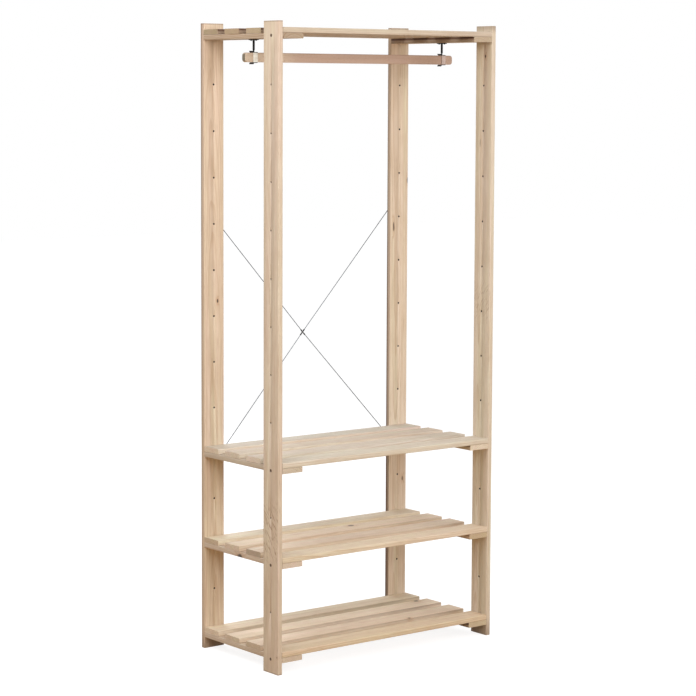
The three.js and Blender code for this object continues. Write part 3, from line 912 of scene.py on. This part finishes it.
screw_bores = []
for way in (-1, 1):
    screw_bore = bore(flange_hole, flange_top - 2 * flange_thickness, flange_top + overrun, sides=24)
    screw_bore.data.transform(Matrix.Translation((0, way * hole_apart / 2, 0)))
    screw_bores.append(screw_bore)
black = black_coat()
put_parts("rod_hangers", {"Body": plate, "Added": turned("stem", stem_profile), "Cut": merged(screw_bores)},
          hanger_places, hanger_nodes, black)

flange_screw_nodes = [f"hanger_screw_{side}_{end}" for side in hanger_sides for end in ("front", "rear")]
flange_screw_places = [head_of(node, down) for node in flange_screw_nodes]
low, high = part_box(flange_screw_nodes[0])
round_head = (high.x - low.x) / 2
round_head_height = 0.0016
round_head_ease = 0.0003
thin_shank = 0.0015
small_reach = 0.0015
small_depth = 0.0009


def round_head_profile(length, shank, head, height):
    """A pointed screw under a domed head, whose top is at 0."""
    angles = [step * math.pi / 12 for step in range(6)]
    dome = [(head * math.cos(angle), height * (math.sin(angle) - 1)) for angle in angles]
    under = -height - lip_height
    return [(0, -length), (shank, 2 * shank - length), (shank, under), (head - round_head_ease, under),
            *dome, (0, 0)]


def small_recess(reach, depth):
    return recess((reach, reach / 4), (reach / 2, reach / 6), depth, depth)


flange_screw = round_head_profile(high.z - low.z, thin_shank, round_head, round_head_height)
put_parts("flange_screws", {"Body": turned("flange_screw", flange_screw),
                            "Cut": small_recess(small_reach, small_depth)},
          flange_screw_places, flange_screw_nodes, black, spin=math.pi / 2, seed=5)


# Rod clips
# Two straps of bright zinc-plated spring steel, each bent round the front of the rod and open at
# the back, where the two lips flare so that the rod can be pushed in.

def bright_zinc():
    look = Finish("bright_zinc", metallic=1.0)
    place = look.place()
    along, across, through = place.parts()
    brushed = look.streaks((along, across, through), 1200, 90)
    cloud = look.noise(place, scale=140, detail=3)
    # Painted shade makes the legs and lips above and below the rod dark, and the right clip gets a painted
    # pinkish reflection of the wood
    on_leg = (through - rod_middle.z).size().ramp(rod_size.z / 2 - 0.0005, rod_size.z / 2 + 0.0005)
    colour = look.coats(linear(192, 186, 174), [(cloud.ramp(0.3, 0.7), (176, 168, 155)),
                                                (along.ramp(-0.1, 0.1), (158, 139, 129)),
                                                (on_leg, (52, 45, 40))])
    rough = 0.42 + cloud * 0.14 + brushed * 0.06
    return look.surface(colour, rough, brushed, distance=0.00004, strength=0.3)


def bent_strip(corners, bend_radius, thickness, steps=5):
    """Outline of a strip bent along straight runs between corners, with a round bend at each."""
    ways = [(after - before).normalized() for before, after in zip(corners, corners[1:])]
    line = [(corners[0], ways[0])]
    for corner, way, out_of in zip(corners[1:], ways, ways[1:]):
        turn = way.angle_signed(out_of)
        cut_back = bend_radius * math.tan(abs(turn) / 2)
        point = corner - way * cut_back
        line.append((point, way))
        arc = bend_radius * 2 * math.sin(abs(turn) / steps / 2)
        half = Matrix.Rotation(-turn / steps / 2, 2)
        for step in range(steps):
            way = half @ way
            point = point + way * arc
            way = half @ way
            line.append((point, way))
    line.append((corners[-1], ways[-1]))
    outer, inner = [[point + side * Vector((-way.y, way.x)) * thickness / 2 for point, way in line]
                    for side in (1, -1)]
    return [tuple(point) for point in [*outer, *reversed(inner)]]


clip_nodes = [f"rod_clip_{side}" for side in hanger_sides]
low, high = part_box(clip_nodes[0])
strap_width = high.x - low.x
strap_bend = 0.0016
strap_edge = 0.0002
lip_length = 0.005
web = low.y - rod_middle.y + strap_thickness / 2
back_of_rod = rod_size.y / 2 + fit_gap
leg = rod_size.z / 2 + fit_gap + strap_thickness / 2
flare = lip_length * math.sqrt(0.5)
corners = [Vector(point) for point in (
    (back_of_rod + flare, leg + flare), (back_of_rod, leg), (web, leg), (web, -leg),
    (back_of_rod, -leg), (back_of_rod + flare, -leg - flare))]
strip = bent_strip(corners, strap_bend, strap_thickness)
strap = prism("strap", [(strip, -strap_width / 2), (strip, strap_width / 2)])
strap.data.transform(Matrix(((0, 0, 1, 0), (1, 0, 0, 0), (0, 1, 0, 0), (0, 0, 0, 1))))

# The hole for the neck is wide inside the strap, where the peened end sits, and closes above it.
hole_rise = 0.004
hole_foot = neck_foot - strap_thickness
hole_top = neck_foot + hole_rise
neck_hole = neck_radius + fit_gap
peen_hole = neck_hole + peen_height
clip_hole = turned("clip_hole", [(0, hole_foot), (peen_hole, hole_foot), (peen_hole, neck_foot),
                                 (neck_hole, neck_foot + peen_height), (neck_hole, hole_top),
                                 (0, hole_top)], sides=24)
put_parts("rod_clips", {"Body": strap, "Cut": clip_hole}, hanger_places, clip_nodes, bright_zinc(),
          round_over=strap_edge)


# Wire brace
# Two galvanised wires cross behind the rear posts. Each is bent to an open eye at both ends, held
# by a round-head screw, and a small clip of two short tubes ties them where they cross.

def dull_zinc():
    look = Finish("dull_zinc", metallic=1.0)
    place = look.place()
    mottle = look.noise(place, scale=700, detail=3)
    outer = (place - tuple(crossing)).length().ramp(0.05, 0.42)
    colour = look.mix(outer, linear(104, 107, 112), linear(68, 70, 74))
    colour = look.mix(mottle.ramp(0.3, 0.7) * 0.4, colour, linear(76, 78, 82))
    return look.surface(colour, 0.38 + mottle * 0.2, mottle, distance=0.00004, strength=0.3)


wire_sides = 12
wire_crisp = math.radians(60)


def wire_tree():
    net = Grower("wire_on_path", {"Path": "Object", "Radius": "Float"})
    line = net.add("GeometryNodeMeshToCurve", values={"Mesh": net.shape_of("Path")})
    values = {"Resolution": wire_sides, "Radius": net.get("Radius")}
    section = net.add("GeometryNodeCurvePrimitiveCircle", {"mode": "RADIUS"}, values)
    values = {"Curve": line, "Profile Curve": section, "Fill Caps": True}
    net.end_with(net.add("GeometryNodeCurveToMesh", values=values))
    return net


wire_low, wire_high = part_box("brace_wire_falling")
wire_radius = (wire_high.y - wire_low.y) / 2
wire_plane = (wire_high.y + wire_low.y) / 2
anchors = {}
for level in ("lower", "upper"):
    for side in hanger_sides:
        low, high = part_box(f"brace_screw_{level}_{side}")
        anchors[level, side] = Vector(((low.x + high.x) / 2, wire_plane, (low.z + high.z) / 2))
clip_low, clip_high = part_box("brace_clip")
crossing = Vector(((clip_low.x + clip_high.x) / 2, wire_plane, (clip_low.z + clip_high.z) / 2))
lift = Vector((0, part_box("brace_wire_rising")[1].y - wire_radius - wire_plane, 0))
eye_radius = shank_radius + fit_gap + wire_radius
eye_turn = math.radians(300)
eye_steps = 28


def eye(anchor, side):
    """An open ring round a screw, from its free end to where the wire leaves for the crossing."""
    away = crossing - anchor
    leave = math.atan2(away.z, away.x) - side * math.acos(eye_radius / away.length)
    angles = [leave - side * eye_turn * (1 - step / eye_steps) for step in range(eye_steps + 1)]
    return [anchor + eye_radius * Vector((math.cos(angle), 0, math.sin(angle))) for angle in angles]


# Each wire's lower screw, upper screw, and how far behind the other one it crosses
wire_runs = {"falling": (anchors["lower", "right"], anchors["upper", "left"], 0 * lift),
             "rising": (anchors["lower", "left"], anchors["upper", "right"], lift)}
wire_maker = wire_tree()
galvanised = dull_zinc()
for name, (lower, upper, behind) in wire_runs.items():
    points = [*eye(lower, 1), crossing + behind, *reversed(eye(upper, -1))]
    path = bpy.data.meshes.new("wire_path")
    path.from_pydata(points, [(i, i + 1) for i in range(len(points) - 1)], [])
    path = linked("wire_path", path)
    wire = wire_maker.grow(f"wire_{name}", {"Path": path, "Radius": wire_radius, "Material": galvanised})
    bpy.data.objects.remove(path)
    shade_smooth(wire.data, wire_crisp)
    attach(wire, "root")
    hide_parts(f"brace_wire_{name}")

clip_reach = 0.0105
tube_wall = 0.0006
tube_ease = 0.0002
tube_bore = wire_radius + fit_gap
tube_radius = tube_bore + tube_wall
tube_end = clip_reach - tube_ease
bore_reach = 0.02
tubes = []
tube_bores = []
for lower, upper, behind in wire_runs.values():
    way = ((crossing - lower).normalized() + (upper - crossing).normalized()).normalized()
    aim = Matrix.Translation(behind) @ up.rotation_difference(way).to_matrix().to_4x4()
    tubes.append(turned("tube", [
        (0, -clip_reach), (tube_radius - tube_ease, -clip_reach), (tube_radius, -tube_end),
        (tube_radius, tube_end), (tube_radius - tube_ease, clip_reach), (0, clip_reach)]))
    tube_bores.append(bore(tube_bore, -bore_reach, bore_reach))
    for tool in (tubes[-1], tube_bores[-1]):
        tool.data.transform(aim)


def dark_tubes():
    look = Finish("dark_tubes", metallic=0.6)
    place = look.place()
    mottle = look.noise(place, scale=900, detail=2)
    arm = (place - tuple(crossing)).length().ramp(0.0025, 0.0045)
    colour = look.mix(arm, linear(140, 142, 144), linear(34, 34, 35))
    colour = look.mix(mottle.ramp(0.4, 0.7) * 0.4, colour, linear(58, 58, 59))
    return look.surface(colour, 0.42 + mottle * 0.2, mottle, distance=0.00004, strength=0.3)


put_parts("cross_clip", {"Body": tubes[0], "Added": tubes[1], "Cut": merged(tube_bores)},
          [(crossing, up)], ["brace_clip"], dark_tubes())

anchor_nodes = [f"brace_screw_{level}_{side}" for level in ("lower", "upper") for side in hanger_sides]
anchor_places = [head_of(node, back) for node in anchor_nodes]
low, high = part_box(anchor_nodes[0])
brace_head_height = 0.0025
brace_screw = round_head_profile(high.y - low.y, shank_radius, (high.x - low.x) / 2, brace_head_height)
put_parts("brace_screws", {"Body": turned("brace_screw", brace_screw),
                           "Cut": small_recess(recess_mouth[0], recess_depth)},
          anchor_places, anchor_nodes, browned_steel(), spin=math.pi / 2, seed=7)


# Light, floor and backdrop
# A white studio: soft lamps from the near left, the left, the front right and behind, and even light
# all round. Floor and backdrop look plain white, and the floor keeps the wardrobe's shadow.
half_floor = 15.0
floor_glow = 0.85
ambient_light = 0.37
white = (1.0, 1.0, 1.0, 1.0)


def seen_directly(net):
    """1 for what the camera sees, straight or in a reflection, and 0 for light on its way."""
    rays = net.node("ShaderNodeLightPath")
    straight, glossy, through = [Socket(net, rays.outputs[name]) for name in
                                 ("Is Camera Ray", "Is Glossy Ray", "Is Transmission Ray")]
    return straight.at_least(glossy).at_least(through)


world = bpy.data.worlds.new("white_studio")
bpy.context.scene.world = world
world.use_nodes = True
studio = Net(world.node_tree)
world.node_tree.nodes.clear()
sky = studio.mix(seen_directly(studio), (ambient_light, ambient_light, ambient_light, 1.0), white)
glow = studio.add("ShaderNodeBackground", values={"Color": sky})
studio.node("ShaderNodeOutputWorld", values={"Surface": glow})


def white_floor():
    look = Finish("white_floor")
    seen = seen_directly(look)
    unlit = look.mix(seen, (0.0, 0.0, 0.0, 1.0), white)
    look.feed(look.shader.inputs["Emission Color"], unlit)
    look.shader.inputs["Emission Strength"].default_value = floor_glow
    return look.surface(look.mix(seen, linear(164, 122, 42), linear(140, 140, 140)), 0.9)


floor_mesh = bpy.data.meshes.new("studio_floor")
floor_corners = [(half_floor * x, half_floor * y, 0) for x, y in ((-1, -1), (1, -1), (1, 1), (-1, 1))]
floor_mesh.from_pydata(floor_corners, [], [range(len(floor_corners))])
floor_mesh.materials.append(white_floor())
floor = linked("studio_floor", floor_mesh)


# Each lamp's place, the height on the frame's middle that it aims at, its size and its power
lamps = {"near_lamp": ((-1.0, -2.95, 2.15), 1.15, 2.2, 57), "left_lamp": ((-2.2, -0.5, 2.7), 1.35, 2.2, 44),
         "right_lamp": ((2.6, -3.4, 1.8), 1.0, 2.6, 52), "back_lamp": ((0.6, 3.6, 1.6), 0.8, 2.8, 66)}
for name, (place, aim_height, size, power) in lamps.items():
    light = bpy.data.lights.new(name, "AREA")
    light.shape = "DISK"
    light.size = size
    light.energy = power
    lamp = linked(name, light)
    lamp.location = place
    lamp.rotation_euler = (Vector((0, 0, aim_height)) - Vector(place)).to_track_quat("-Z", "Y").to_euler()

bpy.context.scene.view_settings.view_transform = "Standard"
